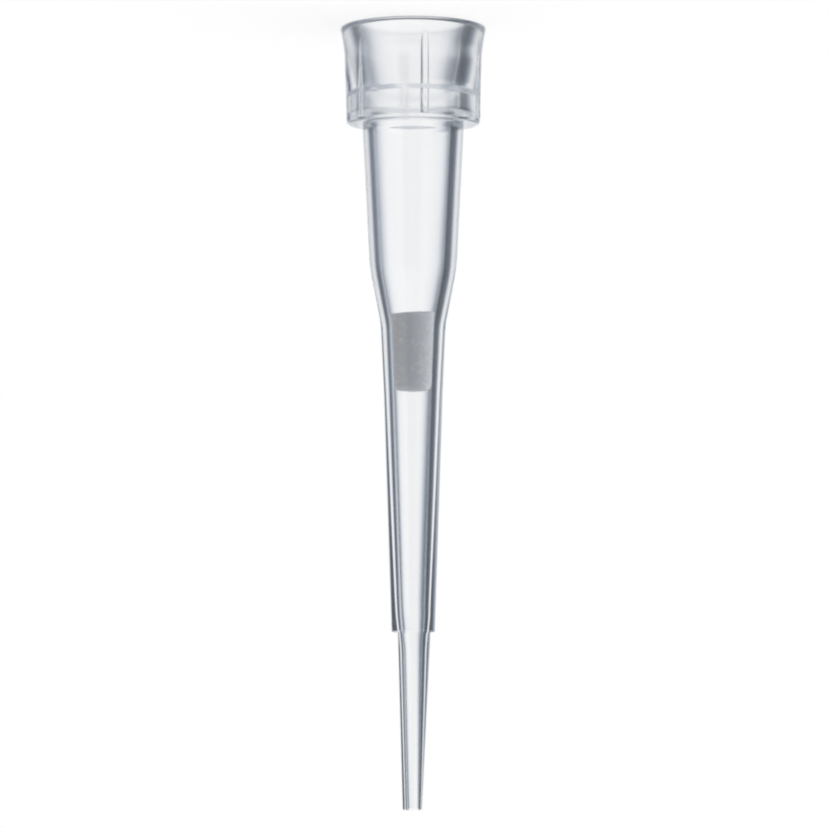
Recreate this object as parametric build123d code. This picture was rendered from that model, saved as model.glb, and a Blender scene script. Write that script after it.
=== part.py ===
"""A 10 microlitre filter pipette tip: a clear moulded body and the porous plug pressed into its bore.

All sizes are in millimetres. The tip stands on its collar: the flat rim lies at z = 0, the axis is Z,
and the point is up. Both outlines are drawn in the XZ plane from stations, each a radius, a height
above the rim and the radius of the arc that blends its corner, and are revolved once round the axis.
"""

from build123d import *
import os

# Heights, from the rim to the point
MOUTH_FLARE_HEIGHT = 0.85  # the mouth's flare runs out into an almost parallel entry
FLARE_HEIGHT = 1.00        # outside, the rim's flare runs out into the collar's skirt
LEAD_IN_START = 1.40       # a cone leads a pipette's nozzle in
CREST_START = 2.50         # to the short parallel crest that grips it
CREST_END = 2.70
RELIEF_START = 2.95        # behind the crest the socket is relieved
SEAT_START = 3.65          # and then closes in to the long bore
RIB_END = 4.06             # the ribs stop just short of the collar's shoulder
COLLAR_HEIGHT = 4.23       # the collar's shoulder, which sits on a rack's deck
BORE_START = 4.45
SHOULDER_START = 10.45     # the body necks in between these two
SHOULDER_END = 12.90
CONE_BREAK = 15.90         # past the plug the cone is slimmer
STEP_HEIGHT = 26.26        # the thick jacket ends in a square step
TIP_LENGTH = 34.00

# Outer radii
RIM_R = 3.18
SKIRT_TOP_R = 2.995
SKIRT_LOW_R = 2.90
BODY_TOP_R = 2.21
SHOULDER_TOP_R = 1.894
SHOULDER_LOW_R = 1.421
CONE_BREAK_R = 1.285
JACKET_END_R = 0.944
FINE_TOP_R = 0.715
POINT_R = 0.42

# Bore radii
MOUTH_R = 2.25
ENTRY_R = 2.05
LEAD_IN_R = 2.035
CREST_R = 1.845
RELIEF_R = 2.03
BORE_TOP_R = 1.675
BORE_SHOULDER_TOP_R = 1.38
BORE_SHOULDER_LOW_R = 0.94
BORE_BREAK_R = 0.82
BORE_JACKET_R = 0.503
BORE_FINE_R = 0.395
ORIFICE_R = 0.25

# The bore narrows faster beside the step, so that the fine cone's wall stays even
BORE_JACKET_HEIGHT = STEP_HEIGHT - 0.66
BORE_FINE_HEIGHT = STEP_HEIGHT + 0.74

# Rounded corners
RIM_EDGE_BLEND = 0.10
FLARE_BLEND = 4.0
COLLAR_EDGE_BLEND = 0.16
MOUTH_FLARE_BLEND = 1.5
LEAD_IN_BLEND = 1.5
CREST_BLEND = 0.12
SEAT_BLEND = 0.40
SHOULDER_TOP_BLEND = 6.0
SHOULDER_LOW_BLEND = 3.5

# The ribs on the collar
RIB_COUNT = 6
RIB_WIDTH = 0.35
RIB_FACE_R = 3.06
RIB_EDGE_BLEND = 0.12
RIB_START = 0.30           # the rib grows out of the flare, so it starts inside it
RIB_ROOT_R = 2.70          # well inside the wall
FIRST_RIB_ANGLE = -99.5    # degrees round Z from +X, so one rib is just beside the front

# The porous plug
PLUG_START = 12.37         # the end nearer the rim
PLUG_END = 15.85
PLUG_CLEARANCE = 0.01      # drawn this much inside the bore that squeezes it
PLUG_EDGE = 0.08           # its end edges are broken by this much

OUTER_STATIONS = [
    (RIM_R, 0, RIM_EDGE_BLEND),
    (SKIRT_TOP_R, FLARE_HEIGHT, FLARE_BLEND),
    (SKIRT_LOW_R, COLLAR_HEIGHT, COLLAR_EDGE_BLEND),
    (BODY_TOP_R, COLLAR_HEIGHT, 0),
    (SHOULDER_TOP_R, SHOULDER_START, SHOULDER_TOP_BLEND),
    (SHOULDER_LOW_R, SHOULDER_END, SHOULDER_LOW_BLEND),
    (CONE_BREAK_R, CONE_BREAK, 0),
    (JACKET_END_R, STEP_HEIGHT, 0),
    (FINE_TOP_R, STEP_HEIGHT, 0),
    (POINT_R, TIP_LENGTH, 0),
]
BORE_STATIONS = [
    (MOUTH_R, 0, 0),
    (ENTRY_R, MOUTH_FLARE_HEIGHT, MOUTH_FLARE_BLEND),
    (LEAD_IN_R, LEAD_IN_START, LEAD_IN_BLEND),
    (CREST_R, CREST_START, CREST_BLEND),
    (CREST_R, CREST_END, CREST_BLEND),
    (RELIEF_R, RELIEF_START, CREST_BLEND),
    (RELIEF_R, SEAT_START, SEAT_BLEND),
    (BORE_TOP_R, BORE_START, SEAT_BLEND),
    (BORE_SHOULDER_TOP_R, SHOULDER_START, SHOULDER_TOP_BLEND),
    (BORE_SHOULDER_LOW_R, SHOULDER_END, SHOULDER_LOW_BLEND),
    (BORE_BREAK_R, CONE_BREAK, 0),
    (BORE_JACKET_R, BORE_JACKET_HEIGHT, 0),
    (BORE_FINE_R, BORE_FINE_HEIGHT, 0),
    (ORIFICE_R, TIP_LENGTH, 0),
]


def turned(stations):
    """The solid that a closed outline makes when it is revolved round the tip's axis.

    The outline runs straight from station to station, and each corner is blended by its own arc.
    """
    outline = FilletPolyline(
        *[(radius, 0, height) for radius, height, _ in stations],
        radius=[blend for _, _, blend in stations],
        close=True,
    )
    return revolve(make_face(outline), Axis.Z)


def plain_body():
    """The moulded body without its ribs: up the outside, over the point and back down the bore."""
    return turned(OUTER_STATIONS + BORE_STATIONS[::-1])


def rib():
    """One rib on the +X side: a bar rooted in the collar's wall, with its two long edges rounded."""
    with BuildPart() as bar:
        with BuildSketch(Plane.XY.offset(RIB_START)):
            with Locations(((RIB_FACE_R + RIB_ROOT_R) / 2, 0)):
                Rectangle(RIB_FACE_R - RIB_ROOT_R, RIB_WIDTH)
        extrude(amount=RIB_END - RIB_START)
        fillet(bar.edges().filter_by(Axis.Z).sort_by(Axis.X)[-2:], RIB_EDGE_BLEND)
    return bar.part


def tip_body():
    """The body with its ribs, evenly spaced round the collar."""
    places = PolarLocations(0, RIB_COUNT, start_angle=FIRST_RIB_ANGLE)
    return plain_body() + [place * rib() for place in places]


def bore_core(clearance):
    """The space inside the tip as a solid, made smaller by a radial clearance."""
    wall = [(radius - clearance, height, blend) for radius, height, blend in BORE_STATIONS]
    return turned([(0, 0, 0), *wall, (0, TIP_LENGTH, 0)])


def filter_plug():
    """The porous plug: a length of the bore's own shape, with its end edges broken."""
    slab = Pos(0, 0, PLUG_START) * Cylinder(
        MOUTH_R, PLUG_END - PLUG_START, align=(Align.CENTER, Align.CENTER, Align.MIN)
    )
    plug = bore_core(PLUG_CLEARANCE) & slab
    by_height = plug.faces().sort_by(Axis.Z)
    return chamfer(by_height[0].edges() + by_height[-1].edges(), PLUG_EDGE)


os.makedirs("parts", exist_ok=True)
NODES = {
    "tip_body": tip_body(),
    "filter_plug": filter_plug(),
}
for name, shape in NODES.items():
    export_step(shape, f"parts/{name}.step")
    size = shape.bounding_box().size
    print(f"{name}: {shape.volume:.3f} mm3, {size.X:.2f} x {size.Y:.2f} x {size.Z:.2f} mm")
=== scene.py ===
# %% [markdown]
# # A filter pipette tip in clear plastic
# The tip is one thin moulded tube with a ribbed collar, and a porous plug is pressed into its bore.
# Clear plastic shows almost nothing of itself: what the eye reads are the bent views of the room in
# its walls. So this scene needs three things done well: a very smooth turned wall, a real refractive
# plastic, and surroundings with a bright panel to look through and greyer sides to draw the edges.

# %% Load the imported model
import bpy
import math
from mathutils import Matrix, Vector


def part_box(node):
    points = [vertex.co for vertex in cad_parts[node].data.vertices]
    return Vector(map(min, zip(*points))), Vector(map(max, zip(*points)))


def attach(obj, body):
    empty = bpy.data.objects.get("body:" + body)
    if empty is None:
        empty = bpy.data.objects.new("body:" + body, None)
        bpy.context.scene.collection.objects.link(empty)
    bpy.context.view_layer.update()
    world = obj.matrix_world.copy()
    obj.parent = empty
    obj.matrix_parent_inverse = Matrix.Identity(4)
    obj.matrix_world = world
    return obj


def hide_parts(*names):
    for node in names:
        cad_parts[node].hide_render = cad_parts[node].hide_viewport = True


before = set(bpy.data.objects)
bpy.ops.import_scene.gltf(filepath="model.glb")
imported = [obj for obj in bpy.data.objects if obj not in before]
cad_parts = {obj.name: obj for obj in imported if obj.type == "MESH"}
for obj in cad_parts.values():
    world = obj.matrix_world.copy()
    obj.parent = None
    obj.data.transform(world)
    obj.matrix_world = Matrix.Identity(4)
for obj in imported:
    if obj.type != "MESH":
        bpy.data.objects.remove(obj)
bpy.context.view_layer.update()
MM = 0.001
print("nodes:", ", ".join(sorted(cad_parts)))

# %% [markdown]
# ## The section of the wall
# The tip is drawn as its maker draws it: half a section, with the axis at radius 0 and the rim at
# height 0. Each station is a radius, a height and the radius of the arc that rounds its corner.
# They repeat the model's own stations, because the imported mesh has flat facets, and every facet of a
# clear wall would show as a stripe. The same section turned in far finer steps stays smooth. Only two
# sharp corners are softened a little, at the mouth and at the root of the body, because a perfectly
# sharp corner shows as a hard line in clear plastic. The section's height is compared with the
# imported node's.

# %% Stations of the wall, in millimetres
TIP_LENGTH = 34.00
STEP_HEIGHT = 26.26        # the thick jacket ends in a square step
COLLAR_HEIGHT = 4.23       # the collar's flat shoulder
BORE_PAST_SHOULDER = (0.94, 12.90, 3.5)     # from here the bore is one slow straight taper
BORE_BREAK = (0.82, 15.90, 0)               # to here

OUTSIDE = [
    (3.18, 0, 0.10),                 # rim
    (2.995, 1.00, 4.0),              # the flare runs out into the skirt
    (2.90, COLLAR_HEIGHT, 0.16),     # collar edge
    (2.21, COLLAR_HEIGHT, 0.06),     # root of the body, softened
    (1.894, 10.45, 6.0),             # the body necks in
    (1.421, 12.90, 3.5),
    (1.285, 15.90, 0),               # past the plug the cone is slimmer
    (0.944, STEP_HEIGHT, 0),         # the jacket's square step
    (0.715, STEP_HEIGHT, 0),
    (0.420, TIP_LENGTH, 0),          # the point
]
INSIDE = [
    (2.25, 0, 0.03),                 # mouth, softened
    (2.05, 0.85, 1.5),               # its flare eases into an almost parallel entry
    (2.035, 1.40, 1.5),              # a cone leads a nozzle in
    (1.845, 2.50, 0.12),             # the sealing ring's short crest
    (1.845, 2.70, 0.12),
    (2.03, 2.95, 0.12),              # relief behind the ring
    (2.03, 3.65, 0.40),
    (1.675, 4.45, 0.40),             # the long bore starts past this seat
    (1.38, 10.45, 6.0),
    BORE_PAST_SHOULDER,
    BORE_BREAK,
    (0.503, STEP_HEIGHT - 0.66, 0),  # beside the step the bore narrows faster,
    (0.395, STEP_HEIGHT + 0.74, 0),  # so that the slim cone's wall stays even
    (0.25, TIP_LENGTH, 0),           # the orifice
]
(_, _, node_low), (_, _, node_high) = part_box("tip_body")
print("section height", TIP_LENGTH, "mm, packed node", round((node_high - node_low) / MM, 2), "mm")


# %% [markdown]
# ## Drawing and turning an outline
# A lathe piece could come from a curve, a Screw modifier or a spin. Here the outline is drawn with
# the pen that every mesh has: one vertex is extruded along the straight runs, and spun round an
# arc's centre at each rounded corner, which makes true arcs. The long runs are drawn in short steps,
# so that the shading of a corner does not smear along the whole wall. The closed outline is then
# spun round the axis, its doubled first and last rows are merged, and its faces are turned outwards.

# %% Select a piece and start an outline
def deselect_everything():
    """Leave edit mode and select nothing."""
    if bpy.context.mode != "OBJECT":
        bpy.ops.object.mode_set(mode="OBJECT")
    bpy.ops.object.select_all(action="DESELECT")


def edit_alone(piece):
    """Select one piece, enter its edit mode and select all of its mesh."""
    deselect_everything()
    piece.select_set(True)
    bpy.context.view_layer.objects.active = piece
    bpy.ops.object.mode_set(mode="EDIT")
    bpy.ops.mesh.select_mode(type="VERT")
    bpy.ops.mesh.select_all(action="SELECT")


def start_outline(name, point):
    """A new piece that is one selected vertex at a point, left in edit mode."""
    deselect_everything()
    bpy.ops.mesh.primitive_plane_add(size=MM, location=(0, 0, 0))
    piece = bpy.context.object
    piece.name = name
    piece.data.name = name
    edit_alone(piece)
    bpy.ops.mesh.merge(type="CENTER")
    bpy.ops.transform.translate(value=point)
    return piece


# %% Draw its runs and corners
STRAIGHT_STEP = 0.40       # mm, longest piece of a straight run
ARC_STEP = math.radians(5)          # longest piece of an arc


def draw_straight(start, end):
    """Extrude the selected vertex from one point to another in short equal steps."""
    steps = max(1, math.ceil((end - start).length / (STRAIGHT_STEP * MM)))
    for _ in range(steps):
        bpy.ops.mesh.extrude_region_move(TRANSFORM_OT_translate={"value": (end - start) / steps})


def corner_arc(before, here, after, blend):
    """The start, centre and end of the arc that rounds a corner, and the angle it turns through."""
    back, on = (before - here).normalized(), (after - here).normalized()
    turn = math.pi - back.angle(on)
    reach = blend * math.tan(turn / 2)
    centre = here + (back + on).normalized() * blend / math.cos(turn / 2)
    if back.cross(on).y < 0:
        turn = -turn
    return here + back * reach, centre, here + on * reach, turn


def draw_outline(name, stations):
    """Draw open runs through the stations, in the XZ plane, with rounded corners."""
    points = [Vector((radius, 0, height)) * MM for radius, height, _ in stations]
    piece = start_outline(name, points[0])
    pen = points[0]
    for before, here, after, (_, _, blend) in zip(points, points[1:], points[2:], stations[1:]):
        if blend == 0:
            draw_straight(pen, here)
            pen = here
            continue
        start, centre, end, turn = corner_arc(before, here, after, blend * MM)
        draw_straight(pen, start)
        steps = max(2, math.ceil(abs(turn) / ARC_STEP))
        bpy.ops.mesh.spin(steps=steps, angle=turn, center=centre, axis=(0, 1, 0))
        pen = end
    draw_straight(pen, points[-1])
    return piece


# %% Turn it round the axis
SAME_PLACE = 1e-7          # metres, vertices nearer than this become one


def merge_doubles():
    """Merge the doubled vertices of the piece in edit mode, and leave all of it selected."""
    bpy.ops.mesh.select_all(action="SELECT")
    bpy.ops.mesh.remove_doubles(threshold=SAME_PLACE)
    bpy.ops.mesh.select_all(action="SELECT")


def turn_outline(piece, steps):
    """Spin the drawn outline once round the axis, close it and face it outwards."""
    merge_doubles()
    bpy.ops.mesh.spin(steps=steps, angle=math.tau, center=(0, 0, 0), axis=(0, 0, 1))
    merge_doubles()
    bpy.ops.mesh.normals_make_consistent(inside=False)
    deselect_everything()
    print(piece.name, len(piece.data.polygons), "faces")


# %% [markdown]
# ## The moulded body
# Polypropylene is injected round a long core pin, so the outside and the bore are two separate
# shapes with a wall between them. One closed outline runs up the outside, over the small ring face
# at the point, down the bore and across the rim. It starts in the middle of the flat rim, so that
# both of the rim's edges are corners that can be rounded.

# %% Turn the body
BODY_STEPS = 256
rim_middle = ((OUTSIDE[0][0] + INSIDE[0][0]) / 2, 0, 0)
body = draw_outline("clear_body", [rim_middle] + OUTSIDE + INSIDE[::-1] + [rim_middle])
turn_outline(body, BODY_STEPS)

# %% [markdown]
# ## The ribs on the collar
# Six slim ribs stiffen the thin collar and give gloved fingers a grip. Each is a straight groove in
# the mould, so it comes out as a bar with softened long edges. One bar is shaped from a cube and
# copied round the collar. Each copy is joined to the wall by an exact union, so that body and ribs
# are one closed skin: a surface left between plastic and plastic would show in a clear part.

# %% Shape one rib and copy it
RIB_WIDTH = 0.35           # mm, as all sizes here
RIB_FACE = 3.06            # radius of a rib's outer face
RIB_ROOT = 2.70            # well inside the wall
RIB_START, RIB_END = 0.30, 4.06
RIB_EDGE = 0.12            # radius of its two outer long edges
RIB_EDGE_SEGMENTS = 4

deselect_everything()
bpy.ops.mesh.primitive_cube_add(size=1)
bars = bpy.context.object
bars.name = "rib_bars"
bpy.ops.object.mode_set(mode="EDIT")
bpy.ops.transform.resize(
    value=((RIB_FACE - RIB_ROOT) * MM, RIB_WIDTH * MM, (RIB_END - RIB_START) * MM)
)
bpy.ops.transform.translate(
    value=((RIB_FACE + RIB_ROOT) / 2 * MM, 0, (RIB_START + RIB_END) / 2 * MM)
)
bpy.ops.mesh.select_mode(type="EDGE")
bpy.ops.mesh.select_all(action="DESELECT")
bpy.ops.object.mode_set(mode="OBJECT")
for edge in bars.data.edges:
    ends = [bars.data.vertices[index].co for index in edge.vertices]
    on_face = all(end.x > (RIB_FACE - RIB_EDGE) * MM for end in ends)
    edge.select = on_face and abs(ends[0].z - ends[1].z) > RIB_WIDTH * MM
bpy.ops.object.mode_set(mode="EDIT")
bpy.ops.mesh.bevel(offset=RIB_EDGE * MM, segments=RIB_EDGE_SEGMENTS, affect="EDGES")
bpy.ops.object.mode_set(mode="OBJECT")
rib_mesh = bars.data.copy()
print("one rib:", len(rib_mesh.polygons), "faces")

# %% Join the ribs to the body
RIB_COUNT = 6
FIRST_RIB_ANGLE = math.radians(-99.5)       # from +X, so it stands just beside the front
BODY_SMOOTH_ANGLE = math.radians(30)

for number in range(RIB_COUNT):
    turned_rib = rib_mesh.copy()
    turned_rib.transform(Matrix.Rotation(FIRST_RIB_ANGLE + math.tau * number / RIB_COUNT, 4, "Z"))
    bars.data = turned_rib
    union = body.modifiers.new("rib", "BOOLEAN")
    union.operation = "UNION"
    union.solver = "EXACT"
    union.object = bars
    deselect_everything()
    body.select_set(True)
    bpy.context.view_layer.objects.active = body
    bpy.ops.object.modifier_apply(modifier=union.name)
bpy.data.objects.remove(bars)
bpy.ops.object.shade_smooth_by_angle(angle=BODY_SMOOTH_ANGLE)
print("body with ribs:", len(body.data.polygons), "faces")

# %% [markdown]
# ## A mould slightly out of true
# Molten plastic pushes the long core pin aside, so the bore of a slim tip is never quite central:
# here it lies 0.02 mm towards +X down to the jacket's step, and comes back close to the axis along
# the point. The point's outside is cut into an insert of its own, which starts 0.04 mm to the other
# side at the step and leans back across the axis by its end. It is less than a hair, but it makes
# the wall's two dark bands differ. The shear tool needs a window, so the same is done to the
# vertices in code: each one moves sideways by what its height asks for.

# %% Let the bore and the point wander
CORE_SHIFT = 0.02          # mm along X
BORE_WANDER = [            # a height, and how far towards +X the bore's axis lies there
    (0, CORE_SHIFT),
    (STEP_HEIGHT - 1.4, CORE_SHIFT),
    (STEP_HEIGHT + 0.8, -0.006),
    (TIP_LENGTH, 0.008),
]
POINT_WANDER = [           # the same for the slim cone's outside
    (STEP_HEIGHT, -0.041),
    (TIP_LENGTH, 0.040),
]
BORE_SKIN = 0.1            # mm, what is nearer to the bore than this belongs to it
POINT_REACH = 0.8          # mm, a radius between the slim cone and the jacket's edge


def between(stations, height):
    """The value at a height, straight from one (height, value) station to the next."""
    for (low, start), (high, end) in zip(stations, stations[1:]):
        if height <= high:
            return start + (end - start) * max(height - low, 0) / (high - low)
    return stations[-1][1]


bore_stations = [(height, radius) for radius, height, _ in INSIDE]
for vertex in body.data.vertices:
    radius = math.hypot(vertex.co.x, vertex.co.y) / MM
    height = vertex.co.z / MM
    if radius < between(bore_stations, height) + BORE_SKIN:
        vertex.co.x += between(BORE_WANDER, height) * MM
    elif radius < POINT_REACH:
        vertex.co.x += between(POINT_WANDER, height) * MM
print("the bore lies", CORE_SHIFT, "mm off the axis")

# %% [markdown]
# ## The porous plug
# The filter is a short plug of sintered polyethylene: fine beads of plastic fused at their touching
# points, which stops droplets and lets air through. It is turned like the body, with slightly domed
# ends, and follows the tapered bore. A real plug is pressed in dry, so a skin of air stays between
# it and the wall. That skin matters: with it the plug is seen at about its own width, and without it
# the wall would magnify it. The end that went in first has its edge worn rounder, and the other end
# was cut a little off square. The plug lies as far off the axis as the bore that holds it.

# %% Turn the plug
PLUG_START, PLUG_END = 12.37, 15.85         # mm, as all sizes here
PLUG_GAP = 0.012           # the skin of air
PLUG_DOME = 0.06           # how far its ends are domed
CUT_EDGE = 0.10            # radius of the cut end's edge, nearer the rim
WORN_EDGE = 0.30           # and of the other end's
PLUG_STEPS = 128


def bore_radius(height):
    """The bore's radius at a height near the plug, on its straight taper."""
    (wide, start, _), (narrow, end, _) = BORE_PAST_SHOULDER, BORE_BREAK
    return wide + (narrow - wide) * (height - start) / (end - start)


plug_outline = [
    (0, PLUG_START, 0),
    (bore_radius(PLUG_START) - PLUG_GAP, PLUG_START + PLUG_DOME, CUT_EDGE),
    (bore_radius(PLUG_END) - PLUG_GAP, PLUG_END - PLUG_DOME, WORN_EDGE),
    (0, PLUG_END, 0),
]
plug = draw_outline("sintered_plug", plug_outline)
turn_outline(plug, PLUG_STEPS)

# %% Set the plug in its place and cut its end off square
OFF_SQUARE = math.tan(math.radians(3))      # slope of the cut end
CUT_ZONE = 0.2             # mm, how much of the plug's length moves with its cut end
PROUD = 0.05               # mm, how far the cut end stands towards the rim at its middle
PLUG_SMOOTH_ANGLE = math.radians(40)

for vertex in plug.data.vertices:
    vertex.co.x += CORE_SHIFT * MM
    if vertex.co.z < (PLUG_START + CUT_ZONE) * MM:
        vertex.co.z += vertex.co.x * OFF_SQUARE - PROUD * MM
plug.select_set(True)
bpy.context.view_layer.objects.active = plug
bpy.ops.object.shade_smooth_by_angle(angle=PLUG_SMOOTH_ANGLE)
print("the plug's cut end reaches", round(min(v.co.z for v in plug.data.vertices) / MM, 2), "mm")

# %% [markdown]
# ## Finishes
# Two small helpers serve every material: one turns an sRGB hex colour to the linear values that
# shaders use, and one adds a node with its settings, its input values and its links.

# %% Colour and node helpers
def linear(hex_colour):
    """An sRGB hex colour as linear red, green, blue and full alpha."""
    channels = [int(hex_colour[start:start + 2], 16) / 255 for start in (1, 3, 5)]
    return [c / 12.92 if c <= 0.04045 else ((c + 0.055) / 1.055) ** 2.4 for c in channels] + [1]


def add_node(tree, kind, inputs=None, stops=None, **settings):
    """Add a node. inputs gives values or other nodes' outputs by socket, stops a ramp's colours."""
    node = tree.nodes.new(kind)
    for name, value in settings.items():
        setattr(node, name, value)
    for socket, value in (inputs or {}).items():
        if isinstance(value, bpy.types.NodeSocket):
            tree.links.new(value, node.inputs[socket])
        else:
            node.inputs[socket].default_value = value
    for number, (position, colour) in enumerate(stops or []):
        ramp = node.color_ramp
        stop = ramp.elements[number] if number < 2 else ramp.elements.new(position)
        stop.position = position
        stop.color = colour
    return node


# %% [markdown]
# ### Clear polypropylene, injection moulded
# Unfilled polypropylene is clear with a faint milky haze, and it bends light a little less than
# glass. A polished mould gives it a gloss, and uneven cooling leaves its haze slightly patchy. So the
# shader is a refractive one with an index of 1.49 and a whisper of roughness that wanders over a few
# millimetres.

# %% Clear polypropylene with a patchy haze
PATCH_SIZE = 2.5           # mm, how far the haze wanders
CLEAREST, HAZIEST = 0.04, 0.08              # roughness
clear = bpy.data.materials.new("clear_moulded_polypropylene")
clear.use_nodes = True
tree = clear.node_tree
shader = tree.nodes["Principled BSDF"]
shader.inputs["Base Color"].default_value = linear("#FEFEFE")
shader.inputs["IOR"].default_value = 1.49
shader.inputs["Transmission Weight"].default_value = 1
spot = add_node(tree, "ShaderNodeTexCoord")
patches = add_node(tree, "ShaderNodeTexNoise",
                   {"Vector": spot.outputs["Object"], "Scale": 1 / (PATCH_SIZE * MM), "Detail": 2.0})
haze = add_node(tree, "ShaderNodeMapRange",
                {"Value": patches.outputs[0], "To Min": CLEAREST, "To Max": HAZIEST})
print(clear.name, "has a roughness of", CLEAREST, "to", HAZIEST)

# %% [markdown]
# ### The satin socket
# The core pin is finely blasted at its wide end, so that the socket lets go of it, and this leaves
# the socket's inner face satin. The ribs on the polished outside stay sharp, and all that is seen
# through the socket goes soft. A point is on that face if it is near enough to the axis and low
# enough, so the two shares are multiplied, and their product adds roughness to the haze.

# %% Satin inside the socket
SOCKET_MATT = 0.18         # roughness that the blasted core adds
SATIN_OUTSIDE, SATIN_INSIDE = 2.5, 2.3      # mm, radii between which the satin fades in
SATIN_TOP, SATIN_FULL = 4.3, 3.6            # mm, heights between which it fades in
across = add_node(tree, "ShaderNodeVectorMath", {0: spot.outputs["Object"], 1: (1, 1, 0)},
                  operation="MULTIPLY")
off_axis = add_node(tree, "ShaderNodeVectorMath", {0: across.outputs[0]}, operation="LENGTH")
near_axis = add_node(tree, "ShaderNodeMapRange",
                     {"Value": off_axis.outputs["Value"],
                      "From Min": SATIN_OUTSIDE * MM, "From Max": SATIN_INSIDE * MM})
heights = add_node(tree, "ShaderNodeSeparateXYZ", {0: spot.outputs["Object"]})
low_down = add_node(tree, "ShaderNodeMapRange",
                    {"Value": heights.outputs["Z"],
                     "From Min": SATIN_TOP * MM, "From Max": SATIN_FULL * MM})
satin = add_node(tree, "ShaderNodeMath", {0: near_axis.outputs[0], 1: low_down.outputs[0]},
                 operation="MULTIPLY")
finish = add_node(tree, "ShaderNodeMath", {0: satin.outputs[0], 1: SOCKET_MATT, 2: haze.outputs[0]},
                  operation="MULTIPLY_ADD")
tree.links.new(finish.outputs[0], shader.inputs["Roughness"])
body.data.materials.clear()
body.data.materials.append(clear)
print("the socket is rougher by", SOCKET_MATT)

# %% [markdown]
# ### Porous polyethylene, sintered
# The beads are natural white polyethylene. Light wanders from bead to bead before it comes out
# again, so the plug looks like packed snow in shade: matt, soft at its edges, and darker where it is
# thick. Subsurface scattering with a radius of about a bead and a half gives that. A cell pattern at
# bead size gives the grain, and a broader noise the soft mottling of an uneven fill.

# %% Porous polyethylene
BEAD_SIZE = 0.16           # mm, a coarse grade of beads
SCATTER_REACH = 1.5 * BEAD_SIZE
porous = bpy.data.materials.new("sintered_porous_polyethylene")
porous.use_nodes = True
tree = porous.node_tree
shader = tree.nodes["Principled BSDF"]
shader.inputs["Roughness"].default_value = 0.9
shader.inputs["Specular IOR Level"].default_value = 0.2
shader.inputs["Subsurface Weight"].default_value = 0.5
shader.inputs["Subsurface Radius"].default_value = (1, 1, 1)
shader.inputs["Subsurface Scale"].default_value = SCATTER_REACH * MM
print(porous.name, "scatters light over", round(SCATTER_REACH, 2), "mm")

# %% Grain of the beads
BEAD_DEPTH = 0.01          # mm
BEAD_RELIEF = 0.6          # how much of that depth shows
MOTTLE_SIZE = 0.7          # mm
spot = add_node(tree, "ShaderNodeTexCoord")
beads = add_node(tree, "ShaderNodeTexVoronoi",
                 {"Vector": spot.outputs["Object"], "Scale": 1 / (BEAD_SIZE * MM)})
mottle = add_node(tree, "ShaderNodeTexNoise",
                  {"Vector": spot.outputs["Object"], "Scale": 1 / (MOTTLE_SIZE * MM), "Detail": 3.0})
grain = add_node(tree, "ShaderNodeMath", {0: beads.outputs["Distance"], 1: mottle.outputs[0]},
                 operation="ADD")
shade = add_node(tree, "ShaderNodeValToRGB", {"Fac": grain.outputs[0]},
                 stops=[(0.45, linear("#FAFBFE")), (1, linear("#E6EAF1"))])
tree.links.new(shade.outputs["Color"], shader.inputs["Base Color"])
bump = add_node(tree, "ShaderNodeBump",
                {"Height": beads.outputs["Distance"], "Distance": BEAD_DEPTH * MM,
                 "Strength": BEAD_RELIEF})
tree.links.new(bump.outputs["Normal"], shader.inputs["Normal"])
plug.data.materials.clear()
plug.data.materials.append(porous)
print("beads of", BEAD_SIZE, "mm")

# %% [markdown]
# ## Joining the pieces to the frame
# Both pieces ride on the part's only body and stand for their imported solids, which stay hidden for
# the collisions.

# %% Ride and replace
for piece, node, slot in [
    (body, "tip_body", "clear_polypropylene"),
    (plug, "filter_plug", "porous_polyethylene"),
]:
    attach(piece, "root")
    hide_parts(node)
    print(piece.name, "stands for", node)

# %% [markdown]
# ## The surroundings
# Clear plastic is lit through, not on. A studio stands a bright panel behind it and lets the sides
# fall off to grey, so that the walls, which bend the view sideways, turn dark and draw the shape.
# The world below is such a light tent, given by direction: one ramp runs round the horizon, a second
# one takes over just above it, and two more far below and far above. A ramp is a row of stops, each
# an azimuth and a brightness.

# %% Ramps round the tent
TENT_DARK = (0.82, 1.0, 1.28)       # the grey of the tent's sides is a cool one


def tent(degrees, level):
    """A stop of a ramp round the tent: an azimuth from +X towards +Y, and a brightness."""
    coolness = 1 - level
    tint = [level * (1 + (channel - 1) * coolness) for channel in TENT_DARK]
    return degrees / 360, tint + [1]


HORIZON = [
    tent(0, 0.85), tent(14, 0.75), tent(26, 0.6), tent(33, 0.42), tent(40, 0.22), tent(46, 0.14),
    tent(54, 0.15), tent(60, 0.34), tent(65, 0.56), tent(70, 0.76), tent(76, 0.88), tent(83, 0.95),
    tent(90, 1), tent(97, 0.97), tent(103, 0.93), tent(108, 0.85), tent(112, 0.7), tent(116, 0.5),
    tent(121, 0.28), tent(128, 0.13), tent(138, 0.08), tent(150, 0.12), tent(158, 0.3),
    tent(168, 0.8), tent(186, 0.8), tent(196, 0.3), tent(246, 0.2), tent(292, 0.3), tent(300, 1),
    tent(330, 1), tent(345, 0.9),
]
RAISED = [
    tent(0, 0.85), tent(16, 0.75), tent(28, 0.52), tent(35, 0.26), tent(42, 0.1), tent(54, 0.05),
    tent(59, 0.12), tent(63, 0.32), tent(67, 0.58), tent(71, 0.76), tent(77, 0.9), tent(84, 0.99),
    tent(95, 0.99), tent(101, 0.85), tent(105, 0.6), tent(110, 0.34), tent(116, 0.18),
    tent(124, 0.1), tent(140, 0.06), tent(153, 0.1), tent(160, 0.3), tent(168, 0.7),
    tent(186, 0.8), tent(196, 0.3), tent(246, 0.2), tent(292, 0.3), tent(300, 1), tent(330, 1),
    tent(345, 0.9),
]
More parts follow.
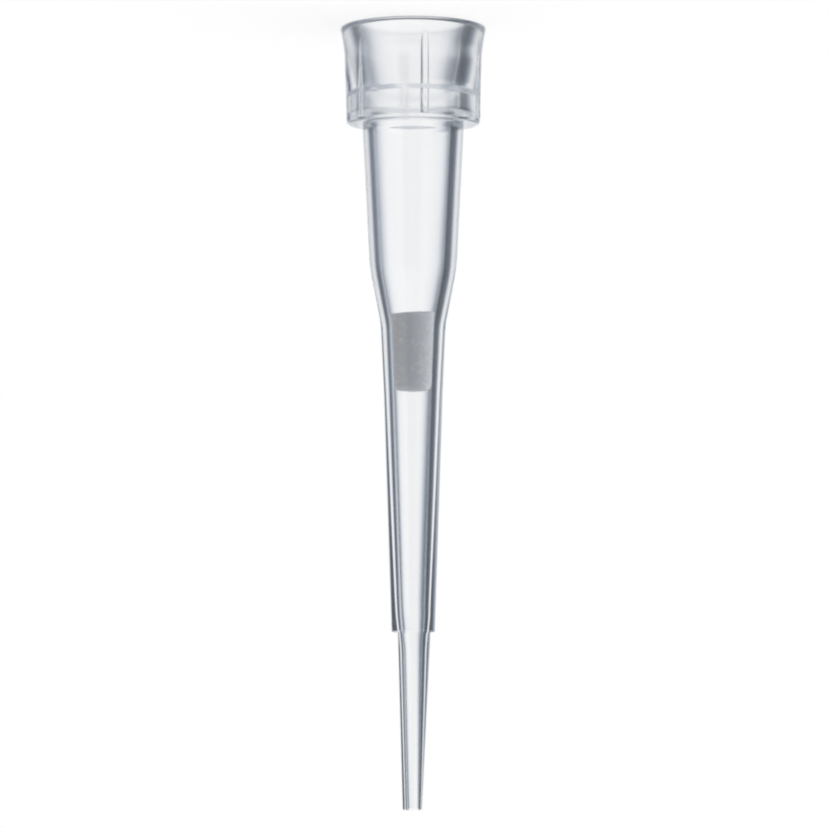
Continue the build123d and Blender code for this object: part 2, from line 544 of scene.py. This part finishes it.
BELOW = [
    tent(0, 0.65), tent(30, 0.4), tent(36, 0.4), tent(44, 0.6), tent(60, 0.6), tent(76, 0.85),
    tent(104, 0.9), tent(112, 0.75), tent(120, 0.5), tent(130, 0.35), tent(145, 0.3),
    tent(160, 0.5), tent(175, 0.8), tent(196, 0.8), tent(290, 0.6), tent(300, 1), tent(330, 1),
    tent(340, 0.6),
]
ABOVE = [
    tent(0, 0.4), tent(60, 0.3), tent(75, 0.12), tent(150, 0.08), tent(180, 0.2), tent(320, 0.4),
]
print("stops in the ramps:", len(HORIZON), len(RAISED), len(BELOW), len(ABOVE))

# %% [markdown]
# ### From ramps to a world
# A direction's azimuth comes from the arctangent of its Y and X, and its climb from the arcsine of
# its Z. The azimuth picks a colour from each ramp, and the climb says how much each one counts. Each
# ramp in the list fades in between two climbs, in degrees.

# %% The light tent
world = bpy.data.worlds.new("light_tent")
bpy.context.scene.world = world
world.use_nodes = True
tree = world.node_tree
tree.nodes.clear()
view = add_node(tree, "ShaderNodeTexCoord")
axes = add_node(tree, "ShaderNodeSeparateXYZ", {0: view.outputs["Generated"]})
azimuth = add_node(tree, "ShaderNodeMath", {0: axes.outputs["Y"], 1: axes.outputs["X"]},
                   operation="ARCTAN2")
turns = add_node(tree, "ShaderNodeMath", {0: azimuth.outputs[0], 1: math.tau}, operation="DIVIDE")
round_tent = add_node(tree, "ShaderNodeMath", {0: turns.outputs[0]}, operation="FRACT")
climb = add_node(tree, "ShaderNodeMath", {0: axes.outputs["Z"]}, operation="ARCSINE")
colour = add_node(tree, "ShaderNodeValToRGB", {"Fac": round_tent.outputs[0]}, stops=HORIZON)
bands = [(RAISED, -5, 3), (BELOW, -12, -22), (ABOVE, 12, 22)]
for stops, fade_start, fade_end in bands:
    band = add_node(tree, "ShaderNodeValToRGB", {"Fac": round_tent.outputs[0]}, stops=stops)
    share = add_node(tree, "ShaderNodeMapRange",
                     {"Value": climb.outputs[0],
                      "From Min": math.radians(fade_start), "From Max": math.radians(fade_end)})
    colour = add_node(tree, "ShaderNodeMixRGB",
                      {"Fac": share.outputs[0], "Color1": colour.outputs[0],
                       "Color2": band.outputs[0]})
print("bands over the horizon's:", len(bands))

# %% [markdown]
# ### What each kind of ray meets
# The camera itself sees plain white. Rays that the plastic bends or mirrors meet the tent. Rays that
# have left a matt surface meet one smooth sky at a plain level instead, brightest behind and to one
# side, so the plug turns a shaded face to the camera.

# %% Sort the rays
MATT_LEVEL = 1.0           # what matt surfaces are lit by on average
MATT_LEAN = (-0.52, 0.62, 0.1)      # and where most of it comes from: behind and one side
MATT_DEPTH = 0.5           # a ray's diffuse depth is 0 until a matt surface, and 1 or more after it
rays = add_node(tree, "ShaderNodeLightPath")
matt = add_node(tree, "ShaderNodeMath", {0: rays.outputs["Diffuse Depth"], 1: MATT_DEPTH},
                operation="GREATER_THAN")
lean = add_node(tree, "ShaderNodeVectorMath", {0: view.outputs["Generated"], 1: MATT_LEAN},
                operation="DOT_PRODUCT")
soft = add_node(tree, "ShaderNodeMath", {0: lean.outputs["Value"], 1: MATT_LEVEL}, operation="ADD")
even = add_node(tree, "ShaderNodeMixRGB",
                {"Fac": matt.outputs[0], "Color1": colour.outputs[0], "Color2": soft.outputs[0]})
seen = add_node(tree, "ShaderNodeMixRGB",
                {"Fac": rays.outputs["Is Camera Ray"], "Color1": even.outputs[0],
                 "Color2": [1, 1, 1, 1]})
light = add_node(tree, "ShaderNodeBackground", {"Color": seen.outputs[0], "Strength": 1.0})
add_node(tree, "ShaderNodeOutputWorld", {"Surface": light.outputs[0]})
print("matt surfaces are lit at a level of", MATT_LEVEL)

# %% [markdown]
# ## The floor
# The tip stands on its rim on a plain pale floor, wide enough to reach the horizon. A real light
# tent has a floor of the same white as its walls, so this one glows as the background does and
# takes only a light shadow. Rays that come through the plastic or off its gloss pass the floor by,
# so that the tent's pattern reaches the walls from below as well.

# %% Lay the floor
FLOOR_WIDTH = 4.0          # metres
SHADOW_SHARE = 0.25        # how much of the floor's white is lit, and can fall into shadow

deselect_everything()
bpy.ops.mesh.primitive_plane_add(size=FLOOR_WIDTH, location=(0, 0, 0))
floor = bpy.context.object
floor.name = "pale_floor"
paper = bpy.data.materials.new("pale_tent_floor")
paper.use_nodes = True
tree = paper.node_tree
tree.nodes.clear()
lit = add_node(tree, "ShaderNodeBsdfDiffuse", {"Color": [1, 1, 1, 1]})
glow = add_node(tree, "ShaderNodeEmission", {"Color": [1, 1, 1, 1], "Strength": 1.0})
white = add_node(tree, "ShaderNodeMixShader",
                 {0: SHADOW_SHARE, 1: glow.outputs[0], 2: lit.outputs[0]})
clear_way = add_node(tree, "ShaderNodeBsdfTransparent")
rays = add_node(tree, "ShaderNodeLightPath")
bent = add_node(tree, "ShaderNodeMath",
                {0: rays.outputs["Is Transmission Ray"], 1: rays.outputs["Is Glossy Ray"]},
                operation="MAXIMUM")
seen = add_node(tree, "ShaderNodeMixShader",
                {0: bent.outputs[0], 1: white.outputs[0], 2: clear_way.outputs[0]})
add_node(tree, "ShaderNodeOutputMaterial", {"Surface": seen.outputs[0]})
floor.data.materials.append(paper)
print("floor", FLOOR_WIDTH, "m wide")

# %% [markdown]
# ## The camera
# A close view from the side with a long lens, level with the middle of the tip. The camera is
# rolled half a turn, so that the tip hangs point down in the picture, as it hangs on a pipette.

# %% Place the camera
DISTANCE = 102             # mm, from the axis
FRAME_WIDTH = 36.04        # mm that the frame spans at the axis
EYE_HEIGHT = 16.81         # mm above the floor
SIDEWAYS = -0.033          # mm along X
SENSOR = 36                # mm
NEAR_CLIP = 0.001          # metres

camera_data = bpy.data.cameras.new("camera")
camera = bpy.data.objects.new("camera", camera_data)
bpy.context.scene.collection.objects.link(camera)
camera_data.sensor_width = SENSOR
camera_data.lens = SENSOR * DISTANCE / FRAME_WIDTH
camera_data.clip_start = NEAR_CLIP
level = Matrix.Rotation(math.radians(90), 4, "X")
rolled = Matrix.Rotation(math.radians(180), 4, "Y") @ level
eye = Vector((SIDEWAYS, -DISTANCE, EYE_HEIGHT)) * MM
camera.matrix_world = Matrix.Translation(eye) @ rolled
bpy.context.scene.camera = camera
print("lens", round(camera_data.lens, 1), "mm")

# %% [markdown]
# ## Render settings
# Light that total reflection traps in the wall turns many corners before it gets out again. With the
# usual few bounces such corners go black, so the limits on bounces are raised. A render filter a
# little wider than the usual one softens fine lines, as a lens does.

# %% Bounces, filter and colours
BOUNCES = 48
FILTER_WIDTH = 2.2
bpy.context.scene.view_settings.view_transform = "Standard"
cycles = bpy.context.scene.cycles
cycles.filter_width = FILTER_WIDTH
cycles.max_bounces = BOUNCES
cycles.transmission_bounces = BOUNCES
cycles.glossy_bounces = BOUNCES
print("bounces", BOUNCES)
